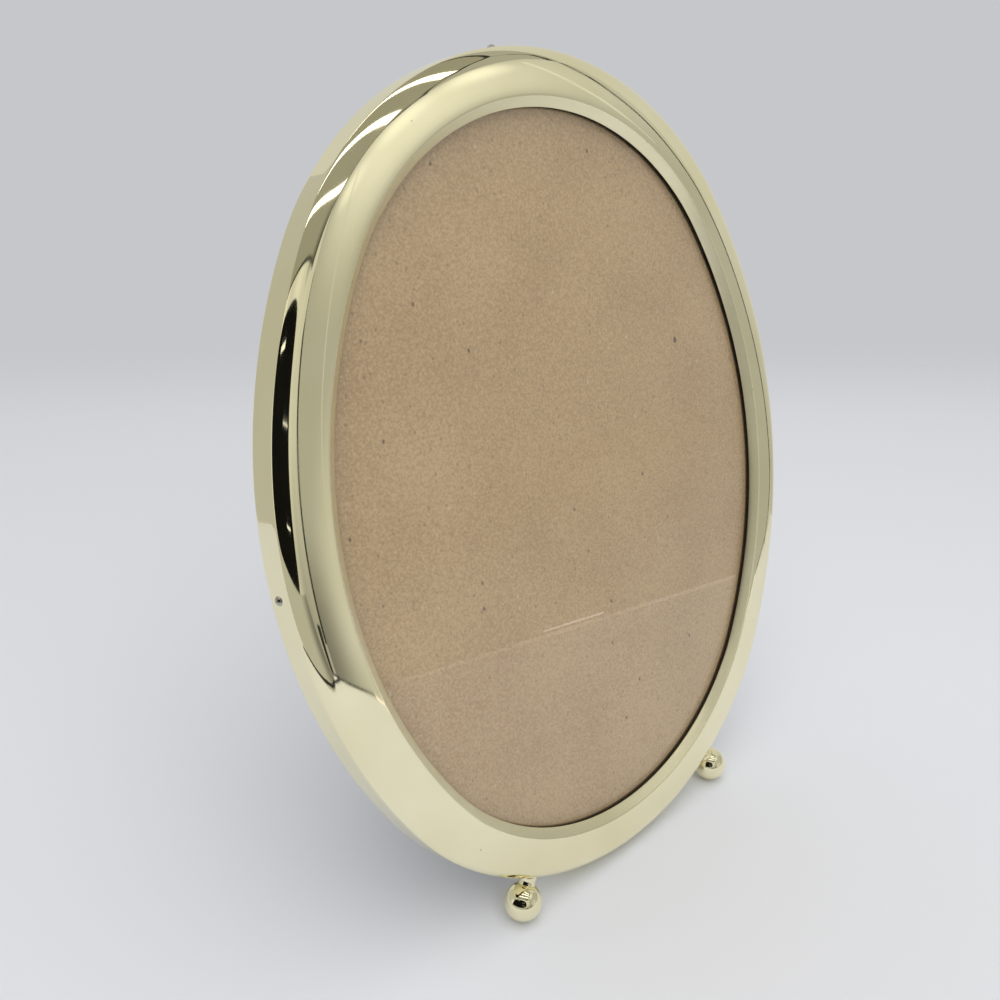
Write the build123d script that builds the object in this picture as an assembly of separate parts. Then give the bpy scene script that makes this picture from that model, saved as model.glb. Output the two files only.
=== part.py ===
import os
from math import asin, atan2, cos, degrees, radians, sin

from build123d import *

# Driving sizes, in millimetres. The oval is four tangent arcs, and every outline lies at an offset from
# the opening: w is the offset outward, z the height forward of the rim's back edge.
opening_half_width = 95.25
opening_half_height = 121.8
end_tightening = 10.25

# Angles, in degrees
lean_angle = 13.0
leg_open_angle = 30.0
shoulder_start_tilt = 60.0
shoulder_end_tilt = 9.0

# Rim: a pressed sheet with a side band, a shoulder, a face and a lip
back_edge_offset = 18.9
crease_offset = 17.9
crease_height = 9.2
shoulder_radius = 6.5
lip_offset = 3.0
lip_height = 13.0
sight_height = 10.25
face_crown = 0.25
crease_fillet = 1.6
lip_fillet = 0.9
shell_wall = 0.8
core_clearance = 0.15

# Glass, boards and the core's rabbet
glass_overlap = 6.35
rabbet_clearance = 0.5
ledge_inset = 1.0
glass_front = 9.1
glass_thickness = 2.0
board_thickness = 3.0
back_thickness = 4.1
cover_thickness = 0.4
core_rear = 0.6

# Silver nails in the side band, as angles round the rim, counter-clockwise from the right
pin_angles = (96.3, 180.75, 276.0, 0.0)
pin_heights = (6.8, 4.0, 6.0, 4.6)
pin_head_radius = 1.45
pin_head_height = 0.9
pin_shank_radius = 0.7
pin_length = 8.0

# Ball feet
foot_half_spacing = 53.0
foot_height = 6.8
ball_radius = 6.6
stem_radius = 3.0
stem_length = 2.75
stud_radius = 1.5
stud_depth = 7.5
stud_in_ball = 4.0
stud_clearance = 0.05

# Turn buttons on the core's back
button_spread_angle = 42.0
button_offset = 12.4
button_half_width = 4.5
button_reach = 15.5
button_thickness = 0.8
button_gap = 0.1
button_edge_round = 0.25
washer_radius = 3.6
screw_radius = 1.5
screw_clearance = 0.1
screw_length = 6.0
screw_head_radius = 2.9
screw_head_height = 1.3
slot_width = 0.7
slot_depth = 0.6

# Hinge of the easel leg
hinge_rise = 15.0
knuckle_radius = 1.8
knuckle_clearance = 0.3
pin_radius = 1.0
pin_fit = 0.05
hinge_pin_head_radius = 1.5
hinge_pin_head_thickness = 0.6
hinge_plate = 0.8
base_half_width = 13.5
base_length = 14.0
leaf_half_width = 8.0
leaf_length = 23.0
tab_half_width = 4.0
tab_length = 6.5
stop_gap = 0.1
hinge_corner = 2.0
rivet_radius = 1.1
rivet_fit = 0.05
rivet_head_radius = 2.2
rivet_head_height = 0.9
base_rivet_width_share = 0.67
base_rivet_length_share = 0.67
leg_rivet_shares = (0.4, 0.8)
leaf_height_share = 0.5

# Easel leg
leg_thickness = 3.0
leg_top_half_width = 16.0
leg_bottom_half_width = 25.0
leg_corner = 4.0

# How far every cut runs past what it cuts
overrun = 6.0

# Oval, worked out from its two half sizes and how much tighter its ends are than a half circle
end_radius = opening_half_width - end_tightening
side_radius = (
    opening_half_width ** 2 + (opening_half_height - end_radius) ** 2 - end_radius ** 2
) / (2 * (opening_half_width - end_radius))
side_centre = side_radius - opening_half_width
end_centre = opening_half_height - end_radius
meet_angle = degrees(atan2(end_centre, side_centre))
end_sweep = 180 - 2 * meet_angle
oval_arcs = (
    (-side_centre, 0, side_radius, -meet_angle, 2 * meet_angle),
    (0, end_centre, end_radius, meet_angle, end_sweep),
    (side_centre, 0, side_radius, 180 - meet_angle, 2 * meet_angle),
    (0, -end_centre, end_radius, 180 + meet_angle, end_sweep),
)

# Places that several pieces share
band_slope = (back_edge_offset - crease_offset) / crease_height
rabbet_offset = glass_overlap + rabbet_clearance
glass_rear = glass_front - glass_thickness
board_rear = glass_rear - board_thickness
back_rear = board_rear - back_thickness
cover_rear = back_rear - cover_thickness
button_front = cover_rear - button_gap
button_rear = button_front - button_thickness
hinge_axis_height = cover_rear - knuckle_radius - knuckle_clearance
foot_reach = end_radius + back_edge_offset - band_slope * foot_height + stem_length
ball_seat = (ball_radius ** 2 - stem_radius ** 2) ** 0.5
ball_distance = foot_reach + ball_seat
foot_angle = degrees(asin(foot_half_spacing / ball_distance))
ball_drop = end_centre + ball_distance * cos(radians(foot_angle))
centre_height = (
    ball_radius + ball_drop * cos(radians(lean_angle)) - foot_height * sin(radians(lean_angle))
)
standing = Plane(
    origin=(0, 0, centre_height),
    x_dir=(1, 0, 0),
    z_dir=(0, -cos(radians(lean_angle)), sin(radians(lean_angle))),
)


def band_offset(height):
    """Offset of the side band's outer face at a height forward of the back edge."""
    return back_edge_offset - band_slope * height


def rim_plane(direction, offset, height):
    """A plane on the rim whose normal points outward in a direction round the oval."""
    for centre_x, centre_y, radius, start, sweep in oval_arcs:
        if (direction - start) % 360 <= sweep:
            break
    outward = Vector(cos(radians(direction)), sin(radians(direction)), 0)
    centre = Vector(centre_x, centre_y, height)
    return Plane(origin=centre + outward * (radius + offset), x_dir=(0, 0, 1), z_dir=outward)


def oval_ring(section):
    """Carry a section, drawn as offset outward and height forward, round the four arcs."""
    pieces = []
    for centre_x, centre_y, radius, start, sweep in oval_arcs:
        outward = Vector(cos(radians(start)), sin(radians(start)), 0)
        centre = Vector(centre_x, centre_y, 0)
        across = Plane(origin=centre + outward * radius, x_dir=outward, z_dir=outward.cross(Vector(0, 0, 1)))
        piece = revolve(across.location * section, axis=Axis(centre, (0, 0, 1)), revolution_arc=sweep)
        pieces.append(piece)
    return pieces[0] + pieces[1:]


def oval_plate(offset, rear, front):
    """A flat oval between two heights, at an offset from the opening."""
    edges = []
    for centre_x, centre_y, radius, start, sweep in oval_arcs:
        edges.append(CenterArc((centre_x, centre_y), radius + offset, start, sweep))
    return Pos(0, 0, rear) * extrude(make_face(edges), front - rear)


def domed_head(radius, height):
    """A low dome on the plane z = 0."""
    dome_radius = (radius ** 2 + height ** 2) / (2 * height)
    half_space = Box(2 * radius, 2 * radius, height, align=(Align.CENTER, Align.CENTER, Align.MIN))
    return Pos(0, 0, height - dome_radius) * Sphere(dome_radius) & half_space


def shank(radius, length):
    """A round shank that goes from the plane z = 0 into the material."""
    return Cylinder(radius, length, align=(Align.CENTER, Align.CENTER, Align.MAX))


def rim_outline():
    """The section under the rim's outer face, with sharp corners."""
    start = radians(shoulder_start_tilt)
    end = radians(shoulder_end_tilt)
    centre_w = crease_offset - shoulder_radius * sin(start)
    centre_z = crease_height - shoulder_radius * cos(start)
    shoulder = []
    for tilt in (start, (start + end) / 2, end):
        shoulder.append((centre_w + shoulder_radius * sin(tilt), centre_z + shoulder_radius * cos(tilt)))
    face_end = (lip_offset, lip_height)
    face_middle = (
        (shoulder[-1][0] + lip_offset) / 2,
        (shoulder[-1][1] + lip_height) / 2 + face_crown,
    )
    lip_slope = (lip_height - sight_height) / lip_offset
    past_sight = (-overrun, sight_height - lip_slope * overrun)
    past_back = (back_edge_offset + band_slope * overrun, -overrun)
    return make_face([
        Line(past_back, shoulder[0]),
        ThreePointArc(*shoulder),
        ThreePointArc(shoulder[-1], face_middle, face_end),
        Line(face_end, past_sight),
        Line(past_sight, (-overrun, -overrun)),
        Line((-overrun, -overrun), past_back),
    ])


def section_box(low_w, high_w, low_z, high_z):
    """A rectangle in the section's own coordinates."""
    return Pos((low_w + high_w) / 2, (low_z + high_z) / 2) * Rectangle(high_w - low_w, high_z - low_z)


def corner_at(face, w, z):
    """The vertex of a section that lies nearest to a point."""
    return face.vertices().sort_by_distance((w, z, 0))[0]


outline = rim_outline()
solid_outline = fillet(corner_at(outline, crease_offset, crease_height), crease_fillet)
solid_outline = fillet(corner_at(solid_outline, lip_offset, lip_height), lip_fillet)
band_envelope = oval_ring(
    solid_outline & section_box(rabbet_offset, back_edge_offset + overrun, -overrun, lip_height + overrun)
)


def make_rim_shell():
    inner = offset(outline, amount=-shell_wall, kind=Kind.INTERSECTION)
    keep = section_box(0, back_edge_offset + overrun, 0, lip_height + overrun)
    shell = oval_ring((solid_outline - inner) & keep)
    for direction, height in zip(pin_angles, pin_heights):
        plane = rim_plane(direction, band_offset(height), height)
        shell -= plane.location * Pos(0, 0, overrun) * shank(pin_shank_radius, pin_length + overrun)
    for direction in foot_directions:
        plane = rim_plane(direction, band_offset(foot_height), foot_height)
        shell -= plane.location * Pos(0, 0, overrun) * shank(stud_radius + stud_clearance, stud_depth + overrun)
    return shell


def make_rim_core():
    under_shell = offset(outline, amount=-(shell_wall + core_clearance), kind=Kind.INTERSECTION)
    keep = section_box(ledge_inset, back_edge_offset, core_rear, lip_height)
    rabbet = section_box(-overrun, rabbet_offset, -overrun, glass_front)
    core = oval_ring((under_shell & keep) - rabbet)
    for direction, height in zip(pin_angles, pin_heights):
        plane = rim_plane(direction, band_offset(height), height)
        core -= plane.location * shank(pin_shank_radius, pin_length)
    for direction in foot_directions:
        plane = rim_plane(direction, band_offset(foot_height), foot_height)
        core -= plane.location * shank(stud_radius + stud_clearance, stud_depth)
    for x, y in button_places:
        core -= Pos(x, y, core_rear + screw_length) * shank(screw_radius, screw_length + overrun)
    return core


def make_rim_pins():
    pins = []
    for direction, height in zip(pin_angles, pin_heights):
        plane = rim_plane(direction, band_offset(height), height)
        nail = domed_head(pin_head_radius, pin_head_height) + shank(pin_shank_radius, pin_length)
        collar = Pos(0, 0, -shell_wall) * Cylinder(
            pin_head_radius, shell_wall, align=(Align.CENTER, Align.CENTER, Align.MIN)
        )
        head = plane.location * (nail + collar) - band_envelope
        pins.append(head + plane.location * shank(pin_shank_radius, pin_length))
    return Compound(children=pins)


def make_foot(direction):
    """A ball, its neck and the stud through both, along one direction round the rim."""
    plane = rim_plane(direction, band_offset(foot_height), foot_height)
    seat = plane.location * Pos(0, 0, stem_length)
    hole = shank(stud_radius + stud_clearance, stem_length + 2 * overrun)
    ball = Sphere(ball_radius) & Box(
        2 * ball_radius, 2 * ball_radius, ball_seat + ball_radius, align=(Align.CENTER, Align.CENTER, Align.MIN)
    ).moved(Pos(0, 0, -ball_seat))
    ball = seat * Pos(0, 0, ball_seat) * ball
    ball -= seat * Pos(0, 0, stud_in_ball) * shank(stud_radius + stud_clearance, stud_in_ball + overrun)
    stem = seat * shank(stem_radius, stem_length + crease_fillet) - band_envelope
    stem -= seat * Pos(0, 0, overrun) * hole
    stud = seat * Pos(0, 0, stud_in_ball) * shank(stud_radius, stud_in_ball + stem_length + stud_depth)
    return ball, stem, stud


def make_easel_back():
    panel = oval_plate(glass_overlap, back_rear, board_rear)
    for x, y in base_rivet_places:
        panel -= Pos(x, y, board_rear + overrun) * shank(rivet_radius + rivet_fit, back_thickness + 2 * overrun)
    return panel


def make_back_cover():
    cover = oval_plate(glass_overlap, cover_rear, back_rear)
    for x, y in base_rivet_places:
        cover -= Pos(x, y, back_rear + overrun) * shank(rivet_radius + rivet_fit, cover_thickness + 2 * overrun)
    return cover


def make_turn_button(x, y):
    """A stamped button whose tongue points to the middle of the nearest end arc."""
    centre_y = end_centre if y > 0 else -end_centre
    inward = degrees(atan2(centre_y - y, -x))
    button = Pos(button_reach / 2, 0) * SlotCenterToCenter(button_reach, 2 * button_half_width)
    button = extrude(button, button_thickness)
    button = fillet(button.edges().filter_by(Plane.XY), button_edge_round)
    button -= Cylinder(screw_radius + screw_clearance, 2 * overrun)
    return Pos(x, y, button_rear) * Rot(0, 0, inward) * button


def make_turn_button_washers():
    washers = []
    for x, y in button_places:
        washer = Cylinder(
            washer_radius, core_rear - cover_rear, align=(Align.CENTER, Align.CENTER, Align.MIN)
        ) - Cylinder(screw_radius + screw_clearance, 2 * overrun)
        washers.append(Pos(x, y, cover_rear) * washer)
    return Compound(children=washers)


def make_turn_button_screws():
    screws = []
    head_front = button_rear - button_gap
    for x, y in button_places:
        head = domed_head(screw_head_radius, screw_head_height)
        head -= Pos(0, 0, screw_head_height) * Box(2 * screw_head_radius, slot_width, 2 * slot_depth)
        screw = head + shank(screw_radius, core_rear + screw_length - head_front)
        screws.append(Pos(x, y, head_front) * Rot(180, 0, 0) * screw)
    return Compound(children=screws)


def knuckle(low_x, high_x):
    """A rolled tube along the hinge's axis, drawn about that axis."""
    tube = Cylinder(knuckle_radius, high_x - low_x) - Cylinder(pin_radius + pin_fit, high_x - low_x)
    return Pos((low_x + high_x) / 2, 0, 0) * Rot(0, 90, 0) * tube


def hinge_strip(low_x, high_x, low_y, high_y, low_z, high_z):
    """A flat part of the hinge between corners given about its axis."""
    centre = Pos((low_x + high_x) / 2, (low_y + high_y) / 2, (low_z + high_z) / 2)
    return centre * Box(high_x - low_x, high_y - low_y, high_z - low_z)


def make_hinge_base():
    """The plate riveted to the back, with a knuckle at each side of its lower edge."""
    front = cover_rear - hinge_axis_height
    rear = front - hinge_plate
    notch = knuckle_radius + knuckle_clearance
    inner_x = leaf_half_width + knuckle_clearance
    plate = hinge_strip(-base_half_width, base_half_width, 0, base_length, rear, front)
    plate = fillet(plate.edges().filter_by(Axis.Z).sort_by(Axis.Y)[-2:], hinge_corner)
    plate -= hinge_strip(-inner_x, inner_x, -overrun, notch, -overrun, overrun)
    base = plate + knuckle(-base_half_width, -inner_x) + knuckle(inner_x, base_half_width)
    bore = Rot(0, 90, 0) * Cylinder(pin_radius + pin_fit, 2 * base_half_width + overrun)
    base -= bore
    for x, y in base_rivet_places:
        base -= Pos(x, y - hinge_rise, 0) * Cylinder(rivet_radius + rivet_fit, 2 * overrun)
    return hinge_place * base


def make_leg_leaf():
    """The leaf riveted to the leg, with the middle knuckle and the stop tab."""
    leaf = hinge_strip(-leaf_half_width, leaf_half_width, -leaf_length, 0, leg_front, leg_front + hinge_plate)
    leaf = fillet(leaf.edges().filter_by(Axis.Z).sort_by(Axis.Y)[:2], hinge_corner)
    leaf += knuckle(-leaf_half_width, leaf_half_width)
    tab_front = cover_rear - hinge_plate - stop_gap - hinge_axis_height
    tab = hinge_strip(-tab_half_width, tab_half_width, 0, tab_length, tab_front - hinge_plate, tab_front)
    leaf += tab.rotate(Axis.X, -leg_open_angle)
    leaf -= Rot(0, 90, 0) * Cylinder(pin_radius + pin_fit, 2 * leaf_half_width + overrun)
    for y in leg_rivet_places:
        leaf -= Pos(0, y, 0) * Cylinder(rivet_radius + rivet_fit, 2 * overrun)
    return leg_place * leaf


def make_hinge_pin():
    reach = base_half_width + stop_gap
    pin = Cylinder(pin_radius, 2 * reach)
    for side in (-1, 1):
        middle = side * (reach + hinge_pin_head_thickness / 2)
        pin += Pos(0, 0, middle) * Cylinder(hinge_pin_head_radius, hinge_pin_head_thickness)
    return hinge_place * Rot(0, 90, 0) * pin


def make_hinge_base_rivets():
    rivets = []
    head_front = cover_rear - hinge_plate
    for x, y in base_rivet_places:
        rivet = domed_head(rivet_head_radius, rivet_head_height) + shank(rivet_radius, board_rear - head_front)
        rivets.append(Pos(x, y, head_front) * Rot(180, 0, 0) * rivet)
    return Compound(children=rivets)


def make_leg_rivets():
    rivets = []
    for y in leg_rivet_places:
        rivet = domed_head(rivet_head_radius, rivet_head_height)
        rivet += shank(rivet_radius, leg_thickness + hinge_plate)
        rivets.append(leg_place * Pos(0, y, leg_front - leg_thickness) * Rot(180, 0, 0) * rivet)
    return Compound(children=rivets)


def make_easel_leg():
    """A tapered board from just under the knuckle to the table."""
    top = -(knuckle_radius + knuckle_clearance)
    length = centre_height + hinge_rise + overrun
    board = make_face(Polyline(
        (-leg_top_half_width, top),
        (leg_top_half_width, top),
        (leg_bottom_half_width, top - length),
        (-leg_bottom_half_width, top - length),
        close=True,
    ))
    board = fillet(board.vertices().sort_by(Axis.Y)[-2:], leg_corner)
    leg = Pos(0, 0, leg_front - leg_thickness) * extrude(board, leg_thickness)
    for y in leg_rivet_places:
        leg -= Pos(0, y, 0) * Cylinder(rivet_radius + rivet_fit, 2 * overrun)
    leg = standing.location * leg_place * leg
    table = Box(2 * length, 2 * length, length, align=(Align.CENTER, Align.CENTER, Align.MAX))
    return leg - table


foot_directions = (270 - foot_angle, 270 + foot_angle)
button_places = []
for end_direction in (90, 270):
    for side in (-1, 1):
        pivot = rim_plane(end_direction + side * button_spread_angle, button_offset, 0).origin
        button_places.append((pivot.X, pivot.Y))

# The hinge is drawn about its axis. The leg is drawn folded there, and opened to its stop.
hinge_place = Pos(0, hinge_rise, hinge_axis_height)
leg_place = hinge_place * Rot(leg_open_angle, 0, 0)
leg_front = leaf_height_share * knuckle_radius
base_rivet_places = []
for side in (-1, 1):
    x = side * base_rivet_width_share * base_half_width
    base_rivet_places.append((x, hinge_rise + base_rivet_length_share * base_length))
leg_rivet_places = [-share * leaf_length for share in leg_rivet_shares]

nodes = {
    "rim_shell": make_rim_shell(),
    "rim_core": make_rim_core(),
    "rim_pins": make_rim_pins(),
    "glass_pane": oval_plate(glass_overlap, glass_rear, glass_front),
    "backing_board": oval_plate(glass_overlap, board_rear, glass_rear),
    "easel_back": make_easel_back(),
    "back_cover": make_back_cover(),
    "turn_button_washers": make_turn_button_washers(),
    "turn_button_screws": make_turn_button_screws(),
    "hinge_base": make_hinge_base(),
    "hinge_base_rivets": make_hinge_base_rivets(),
    "hinge_pin": make_hinge_pin(),
    "leg_leaf": make_leg_leaf(),
    "leg_rivets": make_leg_rivets(),
}
for number, (x, y) in enumerate(button_places, start=1):
    nodes[f"turn_button_{number}"] = make_turn_button(x, y)
for name, direction in zip(("left", "right"), foot_directions):
    ball, stem, stud = make_foot(direction)
    nodes[f"foot_ball_{name}"] = ball
    nodes[f"foot_stem_{name}"] = stem
    nodes[f"foot_stud_{name}"] = stud

# Stand the frame on the table, and put the origin under the middle of its box
standing_nodes = {}
for name, solid in nodes.items():
    standing_nodes[name] = standing.location * solid
standing_nodes["easel_leg"] = make_easel_leg()
front = min(solid.bounding_box().min.Y for solid in standing_nodes.values())
rear = max(solid.bounding_box().max.Y for solid in standing_nodes.values())
to_origin = Pos(0, -(front + rear) / 2, 0)

os.makedirs("parts", exist_ok=True)
for name, solid in standing_nodes.items():
    export_step(to_origin * solid, f"parts/{name}.step")

place = to_origin * standing.location
print("hinge axis at", (place * hinge_place).position, "along +X")
for number, (x, y) in enumerate(button_places, start=1):
    print("turn button", number, "pivot at", (place * Pos(x, y, button_rear)).position)
print("front normal", standing.z_dir)
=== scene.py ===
from math import asin, atan2, copysign, cos, degrees, hypot, pi, radians, sin, sqrt

import bmesh
import bpy
from mathutils import Matrix, Vector


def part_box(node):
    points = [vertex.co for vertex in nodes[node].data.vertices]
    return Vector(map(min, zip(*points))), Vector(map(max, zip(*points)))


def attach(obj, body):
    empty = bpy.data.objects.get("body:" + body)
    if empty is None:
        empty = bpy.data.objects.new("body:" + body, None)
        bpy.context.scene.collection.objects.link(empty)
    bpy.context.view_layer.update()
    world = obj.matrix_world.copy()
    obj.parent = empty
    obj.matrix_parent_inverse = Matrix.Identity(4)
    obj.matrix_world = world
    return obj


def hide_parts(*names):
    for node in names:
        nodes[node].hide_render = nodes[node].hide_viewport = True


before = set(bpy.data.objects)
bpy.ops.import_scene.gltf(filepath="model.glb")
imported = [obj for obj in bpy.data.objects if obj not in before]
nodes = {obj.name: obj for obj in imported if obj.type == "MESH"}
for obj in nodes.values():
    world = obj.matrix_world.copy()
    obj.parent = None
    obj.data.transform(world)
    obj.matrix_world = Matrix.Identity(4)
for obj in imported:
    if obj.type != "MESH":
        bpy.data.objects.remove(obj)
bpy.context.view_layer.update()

MM = 0.001

# Camera
# The photograph was taken from the frame's left front, a little above it and close to it, with the wide
# lens of a phone. The whole picture is shown, uncropped, so the lens has no shift.
camera_place = (-202.8 * MM, -203.26 * MM, 255.04 * MM)
camera_target = (-18.65 * MM, 8.02 * MM, 131.71 * MM)
camera_roll = radians(0.33)
focal_share = 0.87
sensor_width_mm = 36.0
near_limit = 10 * MM
far_limit = 30.0

lens = bpy.data.cameras.new("camera")
lens.sensor_width = sensor_width_mm
lens.lens = focal_share * sensor_width_mm
lens.clip_start = near_limit
lens.clip_end = far_limit
camera = bpy.data.objects.new("camera", lens)
bpy.context.scene.collection.objects.link(camera)
sight_line = Vector(camera_target) - Vector(camera_place)
turn = sight_line.to_track_quat("-Z", "Y").to_matrix().to_4x4()
camera.matrix_world = Matrix.Translation(camera_place) @ turn @ Matrix.Rotation(-camera_roll, 4, "Z")
bpy.context.scene.camera = camera
bpy.context.scene.view_settings.view_transform = "Standard"


# Floor and background
# A plain pale sheet of paper under the frame. Some way behind the frame it fades, without an edge, into
# the slightly darker grey of the background. The light all round is even, but weaker from the open side
# of the light tent.
floor_half_size = 6.0
backdrop_turn = radians(41)
floor_fade_start = 0.40
floor_fade_end = 0.85
floor_pale = "#E9EBEF"
background_grey = "#C6C7CB"
plain_white = "#FFFFFF"
floor_roughness = 0.85
dome_strength = 0.62
dome_shade = 0.22
opening_way = (-0.914, -0.233, 0.333)
opening_edges = (0.62, 0.90)


def linear(code):
    """The linear colour that Blender's sockets take, from an sRGB hex colour."""
    channels = [int(code[i:i + 2], 16) / 255 for i in (1, 3, 5)]
    return [c / 12.92 if c <= 0.04045 else ((c + 0.055) / 1.055) ** 2.4 for c in channels] + [1.0]


def add(tree, kind, settings={}, inputs={}):
    """Add a node with its settings, and set or link its inputs. A node given as one links by its first
    output."""
    node = tree.nodes.new(kind)
    for name, value in settings.items():
        if name == "stops":
            ramp = node.color_ramp.elements
            ramp[0].position, ramp[0].color = value[0][0], linear(value[0][1])
            ramp[1].position, ramp[1].color = value[-1][0], linear(value[-1][1])
            for place, code in value[1:-1]:
                ramp.new(place).color = linear(code)
        else:
            setattr(node, name, value)
    for name, value in inputs.items():
        if isinstance(value, bpy.types.Node):
            value = value.outputs[0]
        if isinstance(value, bpy.types.NodeSocket):
            tree.links.new(value, node.inputs[name])
        else:
            node.inputs[name].default_value = value
    return node


def new_object(name, mesh, material=None):
    """Put a mesh in the scene, at the origin and unturned."""
    piece = bpy.data.objects.new(name, mesh)
    bpy.context.scene.collection.objects.link(piece)
    if material:
        mesh.materials.clear()
        mesh.materials.append(material)
    return piece


def new_material(name):
    """A material with one Principled shader, and its node tree."""
    material = bpy.data.materials.new(name)
    material.use_nodes = True
    material.node_tree.nodes.clear()
    shader = add(material.node_tree, "ShaderNodeBsdfPrincipled")
    add(material.node_tree, "ShaderNodeOutputMaterial", {}, {"Surface": shader})
    return material, material.node_tree, shader


def show_mixed(tree, surface):
    """Send a mixed surface to a material's output, in place of its one shader."""
    output = [node for node in tree.nodes if node.type == "OUTPUT_MATERIAL"][0]
    tree.links.new(surface, output.inputs["Surface"])


floor_paper, tree, shader = new_material("floor_paper")
shader.inputs["Base Color"].default_value = linear(floor_pale)
shader.inputs["Roughness"].default_value = floor_roughness
shader.inputs["Specular IOR Level"].default_value = 0
place = add(tree, "ShaderNodeTexCoord")
turned_place = add(tree, "ShaderNodeMapping", {}, {
    "Vector": place.outputs["Object"], "Rotation": (0, 0, backdrop_turn),
})
parts = add(tree, "ShaderNodeSeparateXYZ", {}, {"Vector": turned_place})
fade = add(tree, "ShaderNodeMapRange", {"interpolation_type": "SMOOTHERSTEP"}, {
    "Value": parts.outputs["Y"], "From Min": floor_fade_start, "From Max": floor_fade_end,
})
ray = add(tree, "ShaderNodeLightPath")
faded = add(tree, "ShaderNodeMath", {"operation": "MULTIPLY"}, {0: fade, 1: ray.outputs["Is Camera Ray"]})
beyond = add(tree, "ShaderNodeBsdfTransparent")
either = add(tree, "ShaderNodeMixShader", {}, {0: faded, 1: shader, 2: beyond})
show_mixed(tree, either.outputs["Shader"])
half = floor_half_size
sheet = bpy.data.meshes.new("floor")
sheet.from_pydata([(-half, -half, 0), (half, -half, 0), (half, half, 0), (-half, half, 0)], [], [range(4)])
floor = new_object("floor", sheet, floor_paper)

world = bpy.data.worlds.new("studio")
bpy.context.scene.world = world
world.use_nodes = True
tree = world.node_tree
tree.nodes.clear()
ray = add(tree, "ShaderNodeLightPath")
seen = add(tree, "ShaderNodeMath", {"operation": "MAXIMUM"}, {
    0: ray.outputs["Is Camera Ray"], 1: ray.outputs["Is Glossy Ray"],
})
seen = add(tree, "ShaderNodeMath", {"operation": "MAXIMUM"}, {
    0: seen, 1: ray.outputs["Is Transmission Ray"],
})
direction = add(tree, "ShaderNodeTexCoord")
toward = add(tree, "ShaderNodeVectorMath", {"operation": "DOT_PRODUCT"}, {
    0: direction.outputs["Generated"], 1: opening_way,
})
shine = add(tree, "ShaderNodeMapRange", {"interpolation_type": "SMOOTHSTEP"}, {
    "Value": toward.outputs["Value"], "From Min": opening_edges[0], "From Max": opening_edges[1],
    "To Min": dome_strength, "To Max": dome_shade,
})
dome = add(tree, "ShaderNodeBackground", {}, {"Color": linear(plain_white), "Strength": shine})
backdrop = add(tree, "ShaderNodeBackground", {}, {"Color": linear(background_grey), "Strength": 1})
either = add(tree, "ShaderNodeMixShader", {}, {0: seen, 1: dome, 2: backdrop})
add(tree, "ShaderNodeOutputWorld", {}, {"Surface": either})


# Lamps
# Two wide soft lamps: one overhead, as the tent's own lamps are, and a weaker one at the front left.
# Polished metal shows the tent instead, so the lamps themselves are hidden from reflections.
overhead_place = (-0.20, -0.30, 1.4)
overhead_size = 1.4
overhead_power = 9.2
front_place = (-0.20, -0.90, 0.60)
front_size = 0.6
front_power = 0.9


def soft_lamp(name, place, target, size, power):
    """A square lamp that faces a target and doesn't show in reflections."""
    lamp = bpy.data.lights.new(name, "AREA")
    lamp.size = size
    lamp.energy = power
    holder = bpy.data.objects.new(name, lamp)
    bpy.context.scene.collection.objects.link(holder)
    aim = (Vector(target) - Vector(place)).to_track_quat("-Z", "Y").to_matrix().to_4x4()
    holder.matrix_world = Matrix.Translation(place) @ aim
    holder.visible_glossy = False
    holder.visible_transmission = False


soft_lamp("overhead_lamp", overhead_place, camera_target, overhead_size, overhead_power)
soft_lamp("front_lamp", front_place, camera_target, front_size, front_power)


# Light tent
# The box of white cloth that the polished metal and the glass reflect: pale walls, a greyer ceiling with
# three rows of small lamps, dark seams, and the dark opening at its front. Only reflections see it.
tent_turn = radians(-55)
tent_front = 0.53
tent_back = -0.30
tent_left = -0.60
tent_right = 0.62
right_foot = 0.41
right_slope = 0.25
front_corner = 0.33
tent_top = 0.70
layer_gap = 0.004
cloth_white = "#FDFDF5"
ceiling_white = "#F6F4E2"

# Each cloth's own level of light, then its soft patches, as middle, reach and level
front_light = (
    0.70, ((0.53, 0.40, 0), 0.35, 0.42), ((0.53, 0, 0.60), 0.25, 0.84),
    ((0.53, -0.55, 0.68), 0.30, 1.0), ((0.53, 0.35, 0.74), 0.16, 0.30),
)
left_light = (0.52, ((0.53, -0.60, 0.20), 0.35, 0.90))
back_light = (0.66, ((-0.28, 0.50, 0), 0.45, 0.48))
right_light = (
    0.46, ((-0.24, 0.56, 0.60), 0.32, 0.64), ((0.12, 0.43, 0.08), 0.22, 0.63),
    ((0.36, 0.41, 0.02), 0.22, 0.20), ((0.04, 0.55, 0.56), 0.33, 0.90), ((-0.085, 0.57, 0.64), 0.10, 1.12),
    ((0.05, 0.565, 0.62), 0.10, 1.12), ((0.17, 0.55, 0.57), 0.08, 1.0),
)
flap_light = (0.66, ((0.45, 0.41, 0), 0.40, 0.38))
ceiling_light = (0.36, ((0.50, 0.58, 0.70), 0.36, 0.10))
apron_light = (0.50, ((0.42, 0.35, 0.05), 0.30, 0.20))
ceiling_rear_level = 0.42
corner_level = 0.56
dark_level = 0.006
seam_level = 0.03
faint_fold_level = 0.66
bright_fold_level = 0.90
crease_white = "#FFF1EC"
crease_level = 1.5
glint_level = 3.6
room_lamp_level = 1.2
lamp_level = 3.0

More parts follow.
